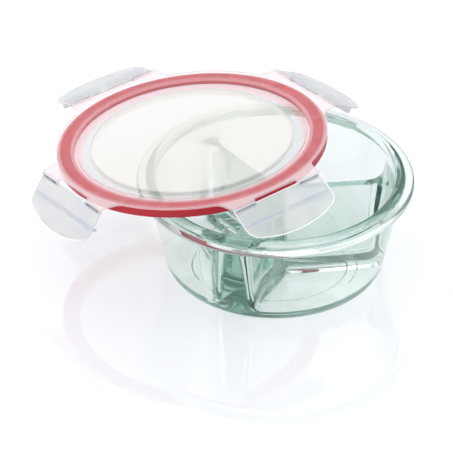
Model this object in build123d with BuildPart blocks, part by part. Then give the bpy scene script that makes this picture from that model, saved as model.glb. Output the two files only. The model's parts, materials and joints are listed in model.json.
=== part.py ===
from build123d import *
from math import cos, hypot, radians, sin, sqrt, tan
import os

# Round glass food container with three pressed compartments and a clip-down lid.
# The origin is the middle of the base, +Z is up and all sizes are in millimetres.
# The lid is shown as it rests after being unclipped: pushed aside and leaning on the rim.

# Bowl
bowl_height = 69.5          # base to the top of the lip
lip_radius = 80.0           # centre line of the rounded lip
lip_half = 3.5              # half the thickness of the lip
lip_flat = 0.1              # flat left along the top of the lip
flange_reach = 9.0          # outside of the beaded flange that the flaps hook under, from the lip's centre
flange_half = 2.5           # half the thickness of the flange
flange_rise = 0.5           # top of the flange above the middle of the lip
wall_reach = 2.0            # outside of the wall just under the flange, from the lip's centre
wall_draft = 11.2           # outside wall, degrees from upright
inner_draft = 7.0           # compartment walls and dividers, degrees from upright
floor_thickness = 5.0
outer_corner = 10.0         # rounding between the wall and the base
foot_inset = 18.0           # outside of the groove in the base, in from the foot of the wall
foot_groove = 7.0           # width of that groove
foot_depth = 0.8
compartment_corner = 8.0    # rounding in plan
compartment_sweep = 7.0     # rounding between wall and floor

# Dividers, pressed in one piece with the bowl
divider_count = 3
divider_width = 5.0         # along the top
divider_drop = 12.0         # top of the dividers below the top of the lip
divider_start = 6.5         # direction of the first divider, degrees from +X
divider_rounding = 2.0
pocket_stop = 1.0           # compartments end this far below the middle of the lip, inside the dish

# Lid plate, with heights measured down from the top of its ring
plate_thickness = 1.4
ring_depth = 4.5            # sunken channel inside the ring
plateau_drop = 0.8          # raised middle below the top of the ring
plateau_edge = 13.6         # edge of the middle, in from the centre line of the lip
plug_clearance = 0.3        # channel wall inside the lip
rim_overlap = 0.5           # the plate stops this far inside the flange radius
plateau_rounding = 1.8
channel_rounding = 1.2

# Seal
seal_thickness = 2.6        # between the plate and the lip
seal_outer_clearance = 0.6  # between the lip and the band that hangs outside it
seal_band_inset = 0.7       # band inside the edge of the plate
seal_seat_gap = 0.1         # band above the flange when shut
seal_stripe_inside = 0.9    # pressed against the plate from this far inside the lip's centre line
seal_stripe_outside = 5.7   # to this far outside it
seal_relief = 0.5           # gap over the rest of the seal

# Flaps and their hinges
flap_count = 4
flap_start = 35.5           # direction of the first flap in the lid, degrees
hinge_gap = 3.0             # hinge axis outside the flange
hinge_bead = 1.1            # radius of the bead that a flap turns on
hinge_clearance = 0.10
hinge_half_length = 33.5
slot_half_length = 16.5
slot_half_width = 1.7
ear_flare = 4.5             # how much wider an ear is where it leaves the rim
ear_fillet = 9.0
flap_side = 22.0            # length of a flap along its sides
flap_middle = 30.0          # length of a flap along its middle
flap_corner = 9.0
bar_place = 14.3            # middle of the locking bars from the hinge
bar_width = 2.6
bar_height = 4.2
bar_gap = 4.4               # between the two bars
bar_end_inset = 1.5
hinge_bar_width = 2.0
hinge_bar_height = 1.0
edge_rounding = 0.5

# Modelling allowances
cut_margin = 1.0            # cutters run this far past what they cut
level_tolerance = 0.1       # for picking edges by their height

# How the unclipped lid lies: its middle from the bowl's axis, how it leans and how its flaps hang
lid_shift_x = -54.0
lid_shift_y = 32.0
lid_tilt = 6.0
lid_lean = 158.0            # direction in which it leans, degrees from +X
rest_clearance = 0.3
rest_reach = 0.7            # sideways allowance when the resting height is worked out
flap_names = ["back_right", "back_left", "front_left", "front_right"]
flap_droop = [27.0, 12.0, 51.0, 35.0]

os.makedirs("parts", exist_ok=True)

# Levels and radii that follow from the sizes above
lip_middle = bowl_height - lip_half
lip_inside = lip_radius - lip_half
lip_outside = lip_radius + lip_half
flange_radius = lip_radius + flange_reach
flange_centre_radius = flange_radius - flange_half
flange_top = lip_middle + flange_rise
flange_middle = flange_top - flange_half
flange_under = flange_middle - flange_half
shoulder = lip_half / 2
shoulder_drop = lip_half - sqrt(lip_half**2 - shoulder**2)
crease_radius = lip_radius + sqrt(lip_half**2 - flange_rise**2)
wall_top_radius = lip_radius + wall_reach
wall_foot_radius = wall_top_radius - flange_under * tan(radians(wall_draft))
foot_radius = wall_foot_radius - foot_inset
compartment_radius = lip_inside - (lip_middle - floor_thickness) * tan(radians(inner_draft))
divider_top = bowl_height - divider_drop
divider_foot = divider_width + 2 * (divider_top - floor_thickness) * tan(radians(inner_draft))
dish_radius = lip_inside - (lip_middle - divider_top)

# Radii and depths of the lid, measured from its own axis and from the top of its ring
rim_radius = flange_radius - rim_overlap
plug_radius = lip_inside - plug_clearance
plateau_radius = lip_radius - plateau_edge
hinge_radius = flange_radius + hinge_gap
band_inner = lip_outside + seal_outer_clearance
band_outer = rim_radius - seal_band_inset
lip_depth = plate_thickness + seal_thickness
band_depth = lip_depth + bowl_height - flange_top - seal_seat_gap
channel_depth = ring_depth + plate_thickness
plateau_depth = plateau_drop + plate_thickness


def lid_underside(radius):
    """How far the lid reaches down from the top of its ring at a radius."""
    if radius < plateau_radius:
        return plateau_depth
    if radius < plug_radius:
        return channel_depth
    if radius < band_inner:
        return lip_depth
    return band_depth if radius < rim_radius else -bowl_height


# The lid rests on whatever point of the lip or the flange it meets first
lean_x = tan(radians(lid_tilt)) * cos(radians(lid_lean))
lean_y = tan(radians(lid_tilt)) * sin(radians(lid_lean))
lid_height = bowl_height
for rim_circle, rim_level in [
    (lip_radius, bowl_height),
    (lip_radius - shoulder, bowl_height - shoulder_drop),
    (lip_radius + shoulder, bowl_height - shoulder_drop),
    (flange_centre_radius, flange_top),
]:
    for angle in range(360):
        away_x = rim_circle * cos(radians(angle)) - lid_shift_x
        away_y = rim_circle * sin(radians(angle)) - lid_shift_y
        slope = lean_x * away_x + lean_y * away_y
        reach = sqrt(away_x**2 + away_y**2 + slope**2)
        depth = max(lid_underside(reach - rest_reach), lid_underside(reach + rest_reach))
        lid_height = max(lid_height, rim_level + slope + depth / cos(radians(lid_tilt)) + rest_clearance)

lid_normal = Vector(lean_x, lean_y, 1).normalized()
lid_right = (Vector(1, 0, 0) - lid_normal * lid_normal.X).normalized()
lid_plane = Plane(origin=(lid_shift_x, lid_shift_y, lid_height), x_dir=lid_right, z_dir=lid_normal)
lid_axis = Axis(lid_plane.origin, lid_plane.z_dir)
lid_section = Plane(origin=lid_plane.origin, x_dir=lid_plane.x_dir, z_dir=-lid_plane.y_dir)


def hinge_plane(number, droop):
    """Plane of a flap: X along its hinge, Y outwards along the flap, in the middle of the plate."""
    turn = flap_start + 360 / flap_count * number
    spot = (hinge_radius * cos(radians(turn)), hinge_radius * sin(radians(turn)), -plate_thickness / 2)
    return Plane(lid_plane.location * Location(spot, (0, 0, turn - 90)) * Location((0, 0, 0), (-droop, 0, 0)))


# Compartments: three drafted pockets under a shallow dish that sweeps up into the lip
with BuildPart() as hollow:
    with BuildSketch(Plane.XY.offset(floor_thickness)) as pocket_plan:
        Circle(compartment_radius)
        with PolarLocations(0, divider_count, start_angle=divider_start):
            Rectangle(2 * lip_radius, divider_foot, align=(Align.MIN, Align.CENTER), mode=Mode.SUBTRACT)
        fillet(pocket_plan.vertices(), compartment_corner)
    extrude(amount=lip_middle - pocket_stop - floor_thickness, taper=-inner_draft)
    fillet(hollow.faces().filter_by(Plane.XY).group_by(Axis.Z)[0].edges(), compartment_sweep)
    with BuildSketch(Plane.XZ) as dish_section:
        with BuildLine():
            Line((0, divider_top), (dish_radius, divider_top))
            RadiusArc((dish_radius, divider_top), (lip_inside, lip_middle), -(lip_middle - divider_top))
            Polyline(
                (lip_inside, lip_middle),
                (lip_inside, bowl_height + cut_margin),
                (0, bowl_height + cut_margin),
                (0, divider_top),
            )
        make_face()
    revolve(axis=Axis.Z)

with BuildPart() as pressed_glass:
    with BuildSketch(Plane.XZ) as bowl_section:
        with BuildLine():
            Polyline(
                (0, 0),
                (foot_radius - foot_groove, 0),
                (foot_radius - foot_groove + foot_depth, foot_depth),
                (foot_radius - foot_depth, foot_depth),
                (foot_radius, 0),
                (wall_foot_radius, 0),
                (wall_top_radius, flange_under),
                (flange_centre_radius, flange_under),
            )
            RadiusArc((flange_centre_radius, flange_under), (flange_radius, flange_middle), -flange_half)
            RadiusArc((flange_radius, flange_middle), (flange_centre_radius, flange_top), -flange_half)
            Line((flange_centre_radius, flange_top), (crease_radius, flange_top))
            RadiusArc((crease_radius, flange_top), (lip_radius, bowl_height), -lip_half)
            Polyline((lip_radius, bowl_height), (0, bowl_height), (0, 0))
        make_face()
        fillet(bowl_section.vertices().sort_by_distance((wall_foot_radius, 0))[0], outer_corner)
    revolve(axis=Axis.Z)
    add(hollow.part, mode=Mode.SUBTRACT)
    mouth = pressed_glass.edges().filter_by(GeomType.CIRCLE).group_by(Axis.Z)[-1].sort_by(SortBy.RADIUS)[0]
    fillet(mouth, lip_half - lip_flat)
    crest_band = (divider_top - level_tolerance, divider_top + level_tolerance)
    crests = pressed_glass.edges().filter_by_position(Axis.Z, *crest_band)
    middle_zone = compartment_radius - compartment_corner - compartment_sweep
    fillet([e for e in crests if hypot(e.center().X, e.center().Y) < middle_zone], divider_rounding)

# The glass is pressed in one piece; its rim, from under the flange up, is kept as a part of its own
rim_foot = Plane.XY.offset(flange_under)
with BuildPart() as glass_bowl:
    add(pressed_glass.part)
    split(bisect_by=rim_foot, keep=Keep.BOTTOM)
with BuildPart() as glass_rim:
    add(pressed_glass.part)
    split(bisect_by=rim_foot, keep=Keep.TOP)

# Lid: one moulded plate with a ring that fits over the lip and four ears that carry the flaps
plate_outline = [
    (plateau_radius, -plateau_drop, plateau_rounding),
    (plateau_radius, -ring_depth, channel_rounding),
    (plug_radius - plate_thickness, -ring_depth, channel_rounding),
    (plug_radius - plate_thickness, 0, channel_rounding),
    (rim_radius, 0, edge_rounding),
    (rim_radius, -plate_thickness, edge_rounding),
    (plug_radius, -plate_thickness, edge_rounding),
    (plug_radius, -channel_depth, edge_rounding),
    (plateau_radius - plate_thickness, -channel_depth, edge_rounding),
    (plateau_radius - plate_thickness, -plateau_depth, edge_rounding),
]
with BuildPart() as lid_plate:
    with BuildSketch(lid_plane):
        Circle(rim_radius - edge_rounding)
        with PolarLocations(0, flap_count, start_angle=flap_start - 90):
            Polygon(
                (-hinge_half_length, hinge_radius),
                (-hinge_half_length - ear_flare, plateau_radius),
                (hinge_half_length + ear_flare, plateau_radius),
                (hinge_half_length, hinge_radius),
                align=None,
            )
    extrude(amount=-plate_thickness)
    upright = lid_plate.edges().filter_by(lid_axis)
    fillet([e for e in upright if (e.center() - lid_plane.origin).length < rim_radius], ear_fillet)
    with BuildSketch(lid_plane):
        Circle(band_inner)
    extrude(amount=-plate_thickness, mode=Mode.SUBTRACT)
    with BuildSketch(lid_section):
        with BuildLine():
            inner_top = (0, -plateau_drop)
            inner_under = (0, -plateau_depth)
            corners = [(radius, level) for radius, level, rounding in plate_outline]
            FilletPolyline(inner_top, *corners, inner_under, radius=[corner[2] for corner in plate_outline])
            Line(inner_under, inner_top)
        make_face()
    revolve(axis=lid_axis)
    for number in range(flap_count):
        hinge = hinge_plane(number, 0)
        with BuildSketch(hinge.offset(-plate_thickness)):
            Rectangle(2 * slot_half_length, 2 * slot_half_width)
        extrude(amount=2 * plate_thickness, mode=Mode.SUBTRACT)
        for side in (1, -1):
            end = hinge.origin + hinge.x_dir * slot_half_length * side
            with BuildSketch(Plane(origin=end, x_dir=hinge.y_dir, z_dir=hinge.x_dir * side)):
                Circle(hinge_bead)
            extrude(amount=hinge_half_length - slot_half_length)

# Seal: an L in section, pressed up against the plate along one stripe
with BuildPart() as seal_ring:
    with BuildSketch(lid_section):
        with BuildLine():
            Polyline(
                (plug_radius + edge_rounding, -plate_thickness - seal_relief),
                (lip_radius - seal_stripe_inside - seal_relief, -plate_thickness - seal_relief),
                (lip_radius - seal_stripe_inside, -plate_thickness),
                (lip_radius + seal_stripe_outside, -plate_thickness),
                (lip_radius + seal_stripe_outside + seal_relief, -plate_thickness - seal_relief),
                (band_outer, -plate_thickness - seal_relief),
                (band_outer, -band_depth),
                (band_inner, -band_depth),
                (band_inner, -lip_depth),
                (plug_radius + edge_rounding, -lip_depth),
                close=True,
            )
        make_face()
    revolve(axis=lid_axis)

pieces = {"glass_bowl": glass_bowl, "glass_rim": glass_rim, "lid_plate": lid_plate, "seal_ring": seal_ring}

# Flaps: each a plate with a grooved edge that turns on the ear's bead, and two locking bars beneath
for number in range(flap_count):
    turned = hinge_plane(number, flap_droop[number])
    with BuildPart() as flap:
        with BuildSketch(turned.offset(-plate_thickness / 2)) as flap_plan:
            with BuildLine():
                Polyline(
                    (-hinge_half_length, flap_side),
                    (-hinge_half_length, 0),
                    (hinge_half_length, 0),
                    (hinge_half_length, flap_side),
                )
                ThreePointArc((-hinge_half_length, flap_side), (0, flap_middle), (hinge_half_length, flap_side))
            make_face()
            fillet(flap_plan.vertices().group_by(Axis.Y)[-1], flap_corner)
        extrude(amount=plate_thickness)
        with BuildSketch(turned.offset(-plate_thickness / 2)):
            bar_length = hinge_half_length - bar_end_inset - bar_gap / 2
            for side in (1, -1):
                with Locations((side * (bar_gap + bar_length) / 2, bar_place)):
                    Rectangle(bar_length, bar_width)
        extrude(amount=-bar_height)
        with BuildSketch(turned.offset(-plate_thickness / 2)):
            brace_length = hinge_half_length - slot_half_length - 2 * bar_end_inset
            brace_middle = (hinge_half_length + slot_half_length) / 2
            for side in (1, -1):
                with Locations((side * brace_middle, slot_half_width + hinge_bar_width / 2)):
                    Rectangle(brace_length, hinge_bar_width)
        extrude(amount=-hinge_bar_height)
        with BuildSketch(turned.offset(-plate_thickness)):
            Rectangle(2 * slot_half_length, 2 * slot_half_width)
        extrude(amount=2 * plate_thickness, mode=Mode.SUBTRACT)
        far_end = turned.origin - turned.x_dir * (hinge_half_length + cut_margin)
        with BuildSketch(Plane(origin=far_end, x_dir=turned.y_dir, z_dir=turned.x_dir)):
            Circle(hinge_bead + hinge_clearance)
        extrude(amount=2 * (hinge_half_length + cut_margin), mode=Mode.SUBTRACT)
    pieces["flap_" + flap_names[number]] = flap

for name, piece in pieces.items():
    piece.part.label = name
    export_step(piece.part, "parts/" + name + ".step")
    print(name, "valid" if piece.part.is_valid else "not valid", round(piece.part.volume / 1000, 2), "cm3")
print("lid rests at", round(lid_height, 2))
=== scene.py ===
import json
from math import cos, pi, radians, sin, sqrt

import bmesh
import bpy
from mathutils import Matrix, Vector


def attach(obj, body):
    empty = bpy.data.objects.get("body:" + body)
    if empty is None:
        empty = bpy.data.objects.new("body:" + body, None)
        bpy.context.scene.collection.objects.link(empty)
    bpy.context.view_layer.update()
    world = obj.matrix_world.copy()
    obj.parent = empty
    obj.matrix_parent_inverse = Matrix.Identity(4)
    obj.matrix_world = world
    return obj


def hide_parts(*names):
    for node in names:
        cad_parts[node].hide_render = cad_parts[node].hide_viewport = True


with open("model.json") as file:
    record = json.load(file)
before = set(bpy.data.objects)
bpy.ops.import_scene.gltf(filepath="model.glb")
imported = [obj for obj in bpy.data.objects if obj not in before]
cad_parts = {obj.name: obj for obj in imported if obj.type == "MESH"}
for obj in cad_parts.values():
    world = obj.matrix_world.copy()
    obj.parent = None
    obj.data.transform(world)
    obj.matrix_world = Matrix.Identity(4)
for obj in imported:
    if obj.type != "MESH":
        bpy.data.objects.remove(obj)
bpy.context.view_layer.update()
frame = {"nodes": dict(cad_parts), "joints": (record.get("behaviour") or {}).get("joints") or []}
bpy.ops.object.select_all(action="DESELECT")
scene = bpy.context.scene
print("frame loaded")


# Shader maths as plain expressions: a socket that can be added, multiplied, banded and blended
class Sock:
    def __init__(self, tree, out):
        self.tree = tree
        self.out = out

    def node(self, kind, settings=(), values=(), pick=0):
        made = self.tree.nodes.new("ShaderNode" + kind)
        for name, value in dict(settings).items():
            if name == "stops":
                ramp = made.color_ramp
                while len(ramp.elements) < len(value):
                    ramp.elements.new(0.5)
                for element, (place, colour) in zip(ramp.elements, value):
                    element.position = place
                    element.color = (*colour, 1)
            else:
                setattr(made, name, value)
        for name, value in dict(values).items():
            if isinstance(value, Sock):
                self.tree.links.new(value.out, made.inputs[name])
            else:
                made.inputs[name].default_value = value
        return Sock(self.tree, made.outputs[pick])

    def maths(self, operation, first, second=0.0):
        return self.node("Math", {"operation": operation}, {0: first, 1: second})

    def __add__(self, other):
        return self.maths("ADD", self, other)

    def __sub__(self, other):
        return self.maths("SUBTRACT", self, other)

    def __mul__(self, other):
        return self.maths("MULTIPLY", self, other)

    def __truediv__(self, other):
        return self.maths("DIVIDE", self, other)

    def __pow__(self, other):
        return self.maths("POWER", self, other)

    def __radd__(self, other):
        return self.maths("ADD", other, self)

    def __rsub__(self, other):
        return self.maths("SUBTRACT", other, self)

    def __rmul__(self, other):
        return self.maths("MULTIPLY", other, self)

    def axes(self):
        parts = self.node("SeparateXYZ", {}, {0: self}).out.node
        return [Sock(self.tree, out) for out in parts.outputs]

    def clamped(self):
        return self.maths("MINIMUM", self.maths("MAXIMUM", self, 0.0), 1.0)

    def rise(self, low, high):
        # From 0 at low to 1 at high, eased at both ends
        return self.node("MapRange", {"interpolation_type": "SMOOTHSTEP"}, {"Value": self, 1: low, 2: high})

    def band(self, low, high, soft):
        return self.rise(low - soft, low + soft) * (1 - self.rise(high - soft, high + soft))

    def blend(self, first, second):
        # A Mix node's colour sockets share their names with its other sockets, so they go by number
        return self.node("Mix", {"data_type": "RGBA"}, {0: self, 6: first, 7: second}, pick=2)


def newMaterial(name, settings):
    material = bpy.data.materials.new(name)
    material.use_nodes = True
    tree = material.node_tree
    shader = tree.nodes["Principled BSDF"]
    for socket, value in settings.items():
        shader.inputs[socket].default_value = value
    return material, tree, shader


def link(tree, value, shader, socket):
    tree.links.new(value.out, shader.inputs[socket])


def roughen(tree, shader, coords, noise, bump):
    start = Sock(tree, None)
    grain = start.node("TexNoise", {}, {"Vector": coords, **noise})
    relief = start.node("Bump", {}, {**bump, "Height": grain})
    link(tree, relief, shader, "Normal")


def objectCoords(tree):
    return Sock(tree, None).node("TexCoord", pick="Object")


def inPlace(tree, origin, turn):
    # Object coordinates, moved and turned to a piece's own place
    mapping = {"Vector": objectCoords(tree), "Location": origin, "Rotation": turn}
    return Sock(tree, None).node("Mapping", {"vector_type": "TEXTURE"}, mapping)


# Moulded plastic shows more at its edges, and has a fine grain
plasticSettings = {
    "edgeBlend": 0.5,
    "edgePower": 4.0,
    "grain": {"Scale": 700.0, "Detail": 2.0},
    "grainBump": {"Strength": 0.06, "Distance": 0.0001},
}


def facingEdge(tree, settings):
    facing = Sock(tree, None).node("LayerWeight", {}, {"Blend": settings["edgeBlend"]}, pick="Facing")
    return facing ** settings["edgePower"]


# Where the lid lies, read from the frame: its hinges stand in a ring round its axis
hinges = [joint for joint in frame["joints"] if joint["type"] == "hinge"]
lidMiddle = sum((Vector(joint["pos_m"]) for joint in hinges), Vector()) / len(hinges)
across = Vector(hinges[2]["pos_m"]) - Vector(hinges[0]["pos_m"])
along = Vector(hinges[3]["pos_m"]) - Vector(hinges[1]["pos_m"])
lidUp = across.cross(along).normalized()
if lidUp.z < 0:
    lidUp.negate()
lidRight = (Vector((1, 0, 0)) - lidUp * lidUp.x).normalized()
lidTurn = Matrix((lidRight, lidUp.cross(lidRight), lidUp)).transposed()
print("lid found", lidMiddle, lidUp)


def inLid(tree):
    return inPlace(tree, lidMiddle, lidTurn.to_euler("XYZ"))


# Camera and light
cameraSettings = {
    "target": (-0.0313, 0.0, 0.0267),
    "distance": 1.9425,
    "elevation": 33.97,
    "lens": 238.4,
    "sensor": 36,
    "clipEnd": 50,
}


def makeCamera(settings):
    tilt = radians(settings["elevation"])
    data = bpy.data.cameras.new("camera")
    data.lens = settings["lens"]
    data.sensor_width = settings["sensor"]
    data.clip_end = settings["clipEnd"]
    camera = bpy.data.objects.new("camera", data)
    scene.collection.objects.link(camera)
    back = Vector((0, -cos(tilt), sin(tilt)))
    camera.location = Vector(settings["target"]) + back * settings["distance"]
    camera.rotation_euler = (pi / 2 - tilt, 0, 0)
    scene.camera = camera


lightTarget = Vector((0, 0, 0.03))
lightSettings = [
    {"name": "topSoftbox", "place": (-0.1, 0.15, 1.1), "size": (1.0, 0.8), "power": 4.3},
    {"name": "leftSoftbox", "place": (-0.9, -0.35, 0.55), "size": (0.35, 0.9), "power": 1.9},
    {"name": "rightSoftbox", "place": (0.9, -0.2, 0.5), "size": (0.3, 0.9), "power": 1.5},
]


def makeLight(settings):
    data = bpy.data.lights.new(settings["name"], "AREA")
    data.shape = "RECTANGLE"
    data.size, data.size_y = settings["size"]
    data.energy = settings["power"]
    light = bpy.data.objects.new(settings["name"], data)
    scene.collection.objects.link(light)
    light.location = settings["place"]
    light.rotation_euler = (lightTarget - light.location).to_track_quat("-Z", "Y").to_euler()


# Studio surround: dark near the floor, brightest where the back wall meets the ceiling
worldSettings = {
    "stops": [
        (0.0, (0.16, 0.18, 0.18)),
        (0.20, (0.24, 0.26, 0.26)),
        (0.42, (1.10, 1.12, 1.15)),
        (0.72, (0.98, 1.00, 1.03)),
        (1.0, (0.55, 0.56, 0.57)),
    ],
    "strength": 1.1,
}


def makeWorld(settings):
    world = bpy.data.worlds.new("studio")
    world.use_nodes = True
    tree = world.node_tree
    height = Sock(tree, None).node("TexCoord", pick="Generated").axes()[2]
    sky = height.node("ValToRGB", {"stops": settings["stops"]}, {0: height.clamped()})
    background = tree.nodes["Background"]
    link(tree, sky, background, "Color")
    background.inputs["Strength"].default_value = settings["strength"]
    scene.world = world


floorSettings = {
    "size": 6,
    "drop": 0.0003,
    "look": {"Base Color": (0.79, 0.797, 0.82, 1), "Roughness": 0.05, "IOR": 1.8},
}


def makeFloor(settings):
    bpy.ops.mesh.primitive_plane_add(size=settings["size"])
    floor = bpy.context.object
    floor.name = "floor"
    floor.location.z = -settings["drop"]
    floor.data.materials.append(newMaterial("paleFloor", settings["look"])[0])
    floor.select_set(False)


# Light that is trapped in the glass rim turns black if its bounces run out
bounceSettings = {
    "max_bounces": 32,
    "glossy_bounces": 32,
    "transmission_bounces": 32,
    "transparent_max_bounces": 24,
}

makeCamera(cameraSettings)
for settings in lightSettings:
    makeLight(settings)
makeWorld(worldSettings)
makeFloor(floorSettings)
scene.view_settings.view_transform = "Standard"
for name, bounces in bounceSettings.items():
    setattr(scene.cycles, name, bounces)
print("studio made")


# Editing by operator
def pickOnly(piece):
    bpy.ops.object.select_all(action="DESELECT")
    piece.select_set(True)
    bpy.context.view_layer.objects.active = piece


def editMode(piece):
    bpy.context.view_layer.objects.active = piece
    piece.select_set(True)
    bpy.ops.object.mode_set(mode="EDIT")


def objectMode():
    bpy.ops.object.mode_set(mode="OBJECT")


def pickFaces(piece, test):
    mesh = bmesh.from_edit_mesh(piece.data)
    bpy.ops.mesh.select_mode(type="FACE")
    for face in mesh.faces:
        face.select_set(test(face.calc_center_median(), face.normal))
    mesh.select_flush(True)
    bmesh.update_edit_mesh(piece.data)


def pickEdges(piece, test):
    mesh = bmesh.from_edit_mesh(piece.data)
    bpy.ops.mesh.select_mode(type="EDGE")
    for edge in mesh.edges:
        edge.select_set(all(test(vert.co) for vert in edge.verts))
    mesh.select_flush_mode()
    bmesh.update_edit_mesh(piece.data)


def cutSheet(point, normal):
    bpy.ops.mesh.select_all(action="SELECT")
    bpy.ops.mesh.bisect(plane_co=point, plane_no=normal)


def drawOut(*move):
    bpy.ops.mesh.extrude_region_move(TRANSFORM_OT_translate={"value": move})


def faceOut():
    bpy.ops.mesh.select_all(action="SELECT")
    bpy.ops.mesh.normals_make_consistent(inside=False)


# Glass, lengths in metres and angles in degrees
glassSettings = {
    "look": {
        "Base Color": (0.985, 1.0, 0.99, 1),
        "Roughness": 0.015,
        "IOR": 1.50,
        "Transmission Weight": 1.0,
    },
    "ripple": {"Scale": 28.0, "Detail": 1.0},
    "rippleBump": {"Strength": 0.25, "Distance": 0.0004},
    "bodyTint": (0.40, 0.64, 0.56, 1),
    "bodyDensity": 20.0,
    "copyWeld": 1e-7,
    "weld": 2e-5,
    "smoothAngle": 28,
}


def glassMaterial(settings):
    material, tree, shader = newMaterial("pressedGlass", settings["look"])
    roughen(tree, shader, objectCoords(tree), settings["ripple"], settings["rippleBump"])
    body = {"Color": settings["bodyTint"], "Density": settings["bodyDensity"]}
    absorb = Sock(tree, None).node("VolumeAbsorption", {}, body)
    link(tree, absorb, tree.nodes["Material Output"], "Volume")
    return material


# The bowl and its rim are pressed in one piece, so one seamless skin stands for both
def makeGlass(settings, name, nodes):
    copies = []
    for node in nodes:
        pickOnly(frame["nodes"][node])
        bpy.ops.object.duplicate()
        copy = bpy.context.object
        editMode(copy)
        bpy.ops.mesh.select_all(action="SELECT")
        bpy.ops.mesh.remove_doubles(threshold=settings["copyWeld"])
        objectMode()
        copies.append(copy)
    glass, rim = copies
    union = glass.modifiers.new("pressed", "BOOLEAN")
    union.operation = "UNION"
    union.solver = "EXACT"
    union.object = rim
    pickOnly(glass)
    bpy.ops.object.modifier_apply(modifier="pressed")
    bpy.data.objects.remove(rim)
    if glass.data.has_custom_normals:
        bpy.ops.mesh.customdata_custom_splitnormals_clear()
    editMode(glass)
    bpy.ops.mesh.select_all(action="SELECT")
    bpy.ops.mesh.remove_doubles(threshold=settings["weld"])
    bpy.ops.mesh.normals_make_consistent(inside=False)
    objectMode()
    bpy.ops.object.shade_smooth_by_angle(angle=radians(settings["smoothAngle"]))
    glass.name = name
    glass.data.name = name
    glass.data.materials.clear()
    glass.data.materials.append(glassMaterial(settings))
    glass.visible_shadow = False
    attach(glass, "bowl")
    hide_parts(*nodes)
    glass.select_set(False)
    return glass


# Lid plate. Cover is how opaque it looks from its axis outwards: plateau, channel, ring, stripe, rim, ears
plateSettings = {
    "look": {"Roughness": 0.22, "IOR": 1.49},
    "radii": (0.0, 0.0655, 0.0668, 0.0740, 0.0760, 0.0786, 0.0792, 0.0855, 0.0861, 0.0878, 0.0884, 0.0900),
    "cover": (0.43, 0.43, 0.30, 0.30, 0.30, 0.24, 0.12, 0.12, 0.24, 0.26, 0.44, 0.42),
    "reach": 0.1,
    "edgeGain": 0.15,
    "plateau": (-0.1, 0.0662, 0.0005),
    "plateauTint": (0.70, 0.672, 0.625, 1),
    "channel": (0.0662, 0.0750, 0.0005),
    "channelTint": (0.50, 0.525, 0.52, 1),
    "ringTint": (0.78, 0.66, 0.665, 1),
    # Painted light: a pink glow of red seal light scattered through the milky plastic, painted on the plate's
    # inner ring wall
    "bleed": (0.0722, 0.0768, 0.0012),
    "bleedTint": (0.70, 0.26, 0.28, 1),
    "bleedShare": 0.8,
}


def plateMaterial(settings, plastic):
    material, tree, shader = newMaterial("milkyPlate", settings["look"])
    spot = inLid(tree)
    x, y = spot.axes()[:2]
    radius = spot.maths("SQRT", x * x + y * y)
    rings = zip(settings["radii"], settings["cover"])
    greys = [(place / settings["reach"], (value,) * 3) for place, value in rings]
    cover = radius.node("ValToRGB", {"stops": greys}, {0: radius / settings["reach"]})
    alpha = cover + facingEdge(tree, plastic) * settings["edgeGain"]
    link(tree, alpha.clamped(), shader, "Alpha")
    tint = radius.band(*settings["plateau"]).blend(settings["ringTint"], settings["plateauTint"])
    tint = radius.band(*settings["channel"]).blend(tint, settings["channelTint"])
    # The painted red seal light is blended into the plate's colour over the inner ring wall
    bleed = radius.band(*settings["bleed"]) * settings["bleedShare"]
    link(tree, bleed.blend(tint, settings["bleedTint"]), shader, "Base Color")
    roughen(tree, shader, spot, plastic["grain"], plastic["grainBump"])
    return material


# Seal
sealSettings = {
    "look": {"Roughness": 0.35, "IOR": 1.43},
    "cloud": {"Scale": 60.0, "Detail": 2.0},
    "darkRed": (0.44, 0.008, 0.024, 1),
    "paleRed": (0.54, 0.014, 0.034, 1),
    "grain": {"Scale": 1400.0, "Detail": 1.0},
    "grainBump": {"Strength": 0.1, "Distance": 0.0001},
}


def sealMaterial(settings):
    material, tree, shader = newMaterial("redSilicone", settings["look"])
    spot = inLid(tree)
    cloud = spot.node("TexNoise", {}, {"Vector": spot, **settings["cloud"]})
    link(tree, cloud.blend(settings["darkRed"], settings["paleRed"]), shader, "Base Color")
    roughen(tree, shader, spot, settings["grain"], settings["grainBump"])
    return material


def dress(node, material):
    piece = frame["nodes"][node]
    piece.data.materials.clear()
    piece.data.materials.append(material)
    piece.visible_shadow = False


dress("seal_ring", sealMaterial(sealSettings))
dress("lid_plate", plateMaterial(plateSettings, plasticSettings))
print("seal and plate dressed")

glass = makeGlass(glassSettings, "pressedGlass", ("glass_bowl", "glass_rim"))
print("glass made", len(glass.data.vertices), len(glass.data.polygons))


# Flaps, lengths in metres and angles in degrees: X along the hinge, Y outwards from it, Z up
flapSettings = {
    "halfWidth": 0.0335,
    "side": 0.022,
    "middle": 0.030,
    "corner": 0.009,
    "thickness": 0.0014,
    "hingeGap": 0.00125,
    "slotHalf": 0.0165,
    "slotDepth": 0.0017,
    "braceReach": 0.0037,
    "braceHeight": 0.0010,
    "barNear": 0.0130,
    "barFar": 0.0156,
    "barInner": 0.0022,
    "barOuter": 0.0320,
    "barHeight": 0.0042,
    "barTaper": (0.985, 0.72, 1),
    "border": 0.0013,
    "dish": 0.00040,
    "bevel": 0.00032,
    "bevelSegments": 3,
    "bevelAngle": 35,
    "smoothAngle": 40,
    "weld": 0.00002,
    "rows": 14,
    "leastWidth": 0.004,
    "rowTolerance": 1e-5,
    "level": 0.9,
    "tipDepth": 0.0002,
}


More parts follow.
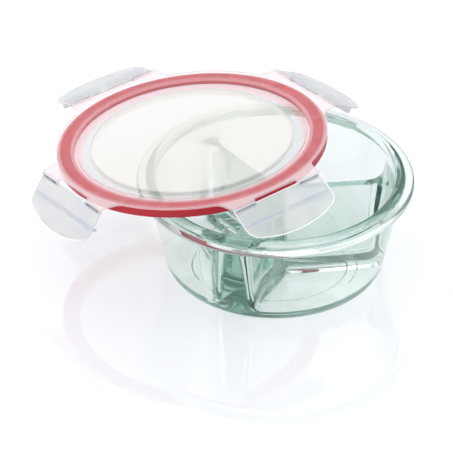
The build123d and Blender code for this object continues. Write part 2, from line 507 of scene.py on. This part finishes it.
def flapHalfWidth(settings, place):
    # Half the flap's width at a distance from its hinge: straight side, rounded corner, bowed end
    bow = settings["middle"] - settings["side"]
    arc = (settings["halfWidth"] ** 2 + bow**2) / (2 * bow)
    arcMiddle = settings["middle"] - arc
    corner = settings["corner"]
    cornerX = settings["halfWidth"] - corner
    cornerY = arcMiddle + sqrt((arc - corner) ** 2 - cornerX**2)
    meetY = arcMiddle + (cornerY - arcMiddle) * arc / (arc - corner)
    if place <= cornerY:
        return settings["halfWidth"]
    if place <= meetY:
        return cornerX + sqrt(max(corner**2 - (place - cornerY) ** 2, 0))
    return sqrt(max(arc**2 - (place - arcMiddle) ** 2, 0))


def flapOutline(settings, name):
    # A flat sheet to the straight sides' end, drawn out row by row to the bowed end
    near = settings["hingeGap"]
    far = settings["side"] - settings["corner"]
    bpy.ops.mesh.primitive_plane_add(size=1, location=(0, (near + far) / 2, 0))
    flap = bpy.context.object
    flap.name = name
    flap.data.name = name
    flap.scale = (2 * settings["halfWidth"], far - near, 1)
    bpy.ops.object.transform_apply(location=True, rotation=True, scale=True)
    editMode(flap)
    place, width = far, settings["halfWidth"]
    for row in range(1, settings["rows"] + 1):
        turn = row / settings["rows"] * pi / 2
        newPlace = far + (settings["middle"] - far) * sin(turn)
        newWidth = max(flapHalfWidth(settings, newPlace), settings["leastWidth"])
        pickEdges(flap, lambda spot: abs(spot.y - place) < settings["rowTolerance"])
        drawOut(0, newPlace - place, 0)
        bpy.ops.transform.resize(value=(newWidth / width, 1, 1), center_override=(0, newPlace, 0))
        place, width = newPlace, newWidth
    return flap


def underside(settings, side, inner, outer, start, end):
    # A test for faces under the flap, on one side of its middle, inside a rectangle
    return lambda spot, normal: (
        normal.z < -settings["level"]
        and spot.z > -settings["thickness"]
        and inner < side * spot.x < outer
        and start < spot.y < end
    )


def makeFlap(settings, name):
    flap = flapOutline(settings, name)
    slotHalf, slotDepth = settings["slotHalf"], settings["slotDepth"]
    inner, outer = settings["barInner"], settings["barOuter"]
    barNear, barFar = settings["barNear"], settings["barFar"]
    for cut in (inner, outer, slotHalf):
        cutSheet((cut, 0, 0), (1, 0, 0))
        cutSheet((-cut, 0, 0), (1, 0, 0))
    for cut in (slotDepth, settings["braceReach"], barNear, barFar):
        cutSheet((0, cut, 0), (0, 1, 0))
    pickFaces(flap, lambda spot, normal: abs(spot.x) < slotHalf and spot.y < slotDepth)
    bpy.ops.mesh.delete(type="FACE")
    bpy.ops.mesh.select_all(action="SELECT")
    bpy.ops.transform.translate(value=(0, 0, settings["thickness"] / 2))
    bpy.ops.mesh.normals_make_consistent(inside=False)
    drawOut(0, 0, -settings["thickness"])
    faceOut()
    for side in (1, -1):
        pickFaces(flap, underside(settings, side, inner, outer, barNear, barFar))
        drawOut(0, 0, -settings["barHeight"])
        barMiddle = (side * (inner + outer) / 2, (barNear + barFar) / 2, 0)
        bpy.ops.transform.resize(value=settings["barTaper"], center_override=barMiddle)
        pickFaces(flap, underside(settings, side, slotHalf, outer, slotDepth, settings["braceReach"]))
        drawOut(0, 0, -settings["braceHeight"])
    pickFaces(flap, lambda spot, normal: normal.z > settings["level"])
    bpy.ops.mesh.inset(thickness=settings["border"], use_even_offset=True)
    bpy.ops.transform.translate(value=(0, 0, -settings["dish"]))
    objectMode()
    bevel = flap.modifiers.new("softEdges", "BEVEL")
    bevel.width = settings["bevel"]
    bevel.segments = settings["bevelSegments"]
    bevel.limit_method = "ANGLE"
    bevel.angle_limit = radians(settings["bevelAngle"])
    bpy.ops.object.modifier_apply(modifier="softEdges")
    # The soft edges meet along the dish's step, and leave doubled points there
    editMode(flap)
    bpy.ops.mesh.select_all(action="SELECT")
    bpy.ops.mesh.remove_doubles(threshold=settings["weld"])
    bpy.ops.mesh.dissolve_degenerate(threshold=settings["weld"])
    bpy.ops.mesh.normals_make_consistent(inside=False)
    objectMode()
    bpy.ops.object.shade_smooth_by_angle(angle=radians(settings["smoothAngle"]))
    flap.select_set(False)
    return flap


def flapPlace(settings, joint):
    # Where a flap hangs: its hinge line from the joint, its reach from the farthest points of the CAD flap
    origin = Vector(joint["pos_m"])
    right = -Vector(joint["axis"]).normalized()
    node = frame["nodes"][joint["child"]]
    spots = [vert.co - origin for vert in node.data.vertices]
    spots = [spot - right * spot.dot(right) for spot in spots]
    reach = max(spot.length for spot in spots)
    ends = [spot for spot in spots if spot.length > reach - settings["tipDepth"]]
    out = (sum(ends, Vector()) / len(ends)).normalized()
    turn = Matrix((right, out, right.cross(out))).transposed()
    return Matrix.Translation(origin) @ turn.to_4x4()


flapLook = {
    "look": {"Roughness": 0.24, "IOR": 1.49},
    "cover": 0.42,
    "barCover": 0.22,
    "braceCover": 0.35,
    "borderCover": 0.40,
    "edgeGain": 0.40,
    "tint": (0.66, 0.65, 0.63, 1),
    "coolTint": (0.50, 0.54, 0.66, 1),
    # The raised border is lighter: partly whiter thick plastic, partly a painted highlight line along it
    "borderTint": (0.88, 0.89, 0.90, 1),
    # Painted shade: a dark grey band over the brace along the hinge, where the living hinge's groove lies in
    # shadow
    "hingeTint": (0.24, 0.25, 0.29, 1),
    "hingeShare": 0.75,
    "cloud": {"Scale": 45.0, "Detail": 1.5},
    "cloudStart": 0.35,
    "cloudGain": 1.6,
    "cloudShare": 0.6,
    "barShare": 0.5,
    "barSoft": (0.001, 0.0012),
    "braceSoft": (0.0006, 0.0003),
    "borderSoft": 0.00004,
}


def flapMaterial(name, place, look, settings, plastic):
    material, tree, shader = newMaterial(name, look["look"])
    spot = inPlace(tree, place.to_translation(), place.to_euler("XYZ"))
    x, y, z = spot.axes()
    apart = x.maths("ABSOLUTE", x)
    softX, softY = look["barSoft"]
    bars = y.band(settings["barNear"], settings["barFar"], softY)
    bars = bars * apart.band(settings["barInner"], settings["barOuter"], softX)
    softX, softY = look["braceSoft"]
    brace = y.band(settings["slotDepth"], settings["braceReach"], softY)
    brace = brace * apart.band(settings["slotHalf"], settings["barOuter"], softX)
    borderFoot = settings["thickness"] / 2 - settings["dish"] / 2
    border = z.band(borderFoot, settings["thickness"], look["borderSoft"])
    cloud = spot.node("TexNoise", {}, {"Vector": spot, **look["cloud"]})
    cloud = ((cloud - look["cloudStart"]) * look["cloudGain"]).clamped()
    cool = cloud * look["cloudShare"] + bars * look["barShare"]
    tint = cool.clamped().blend(look["tint"], look["coolTint"])
    # Lighter border top: partly whiter thick plastic, partly a painted highlight line
    tint = border.blend(tint, look["borderTint"])
    # The painted hinge shade darkens the colour over the brace
    tint = (brace * look["hingeShare"]).blend(tint, look["hingeTint"])
    link(tree, tint, shader, "Base Color")
    alpha = look["cover"] + bars * look["barCover"] + brace * look["braceCover"]
    alpha = alpha + border * look["borderCover"] + facingEdge(tree, plastic) * look["edgeGain"]
    link(tree, alpha.clamped(), shader, "Alpha")
    roughen(tree, shader, spot, plastic["grain"], plastic["grainBump"])
    return material


for joint in hinges:
    body = joint["child"]
    words = body.split("_")
    name = "flap" + "".join(word.capitalize() for word in words[1:])
    place = flapPlace(flapSettings, joint)
    flap = makeFlap(flapSettings, name)
    flap.data.transform(place)
    flap.data.materials.append(flapMaterial(name + "Plastic", place, flapLook, flapSettings, plasticSettings))
    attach(flap, body)
    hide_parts(body)
    flap.visible_shadow = False
print("flaps made")
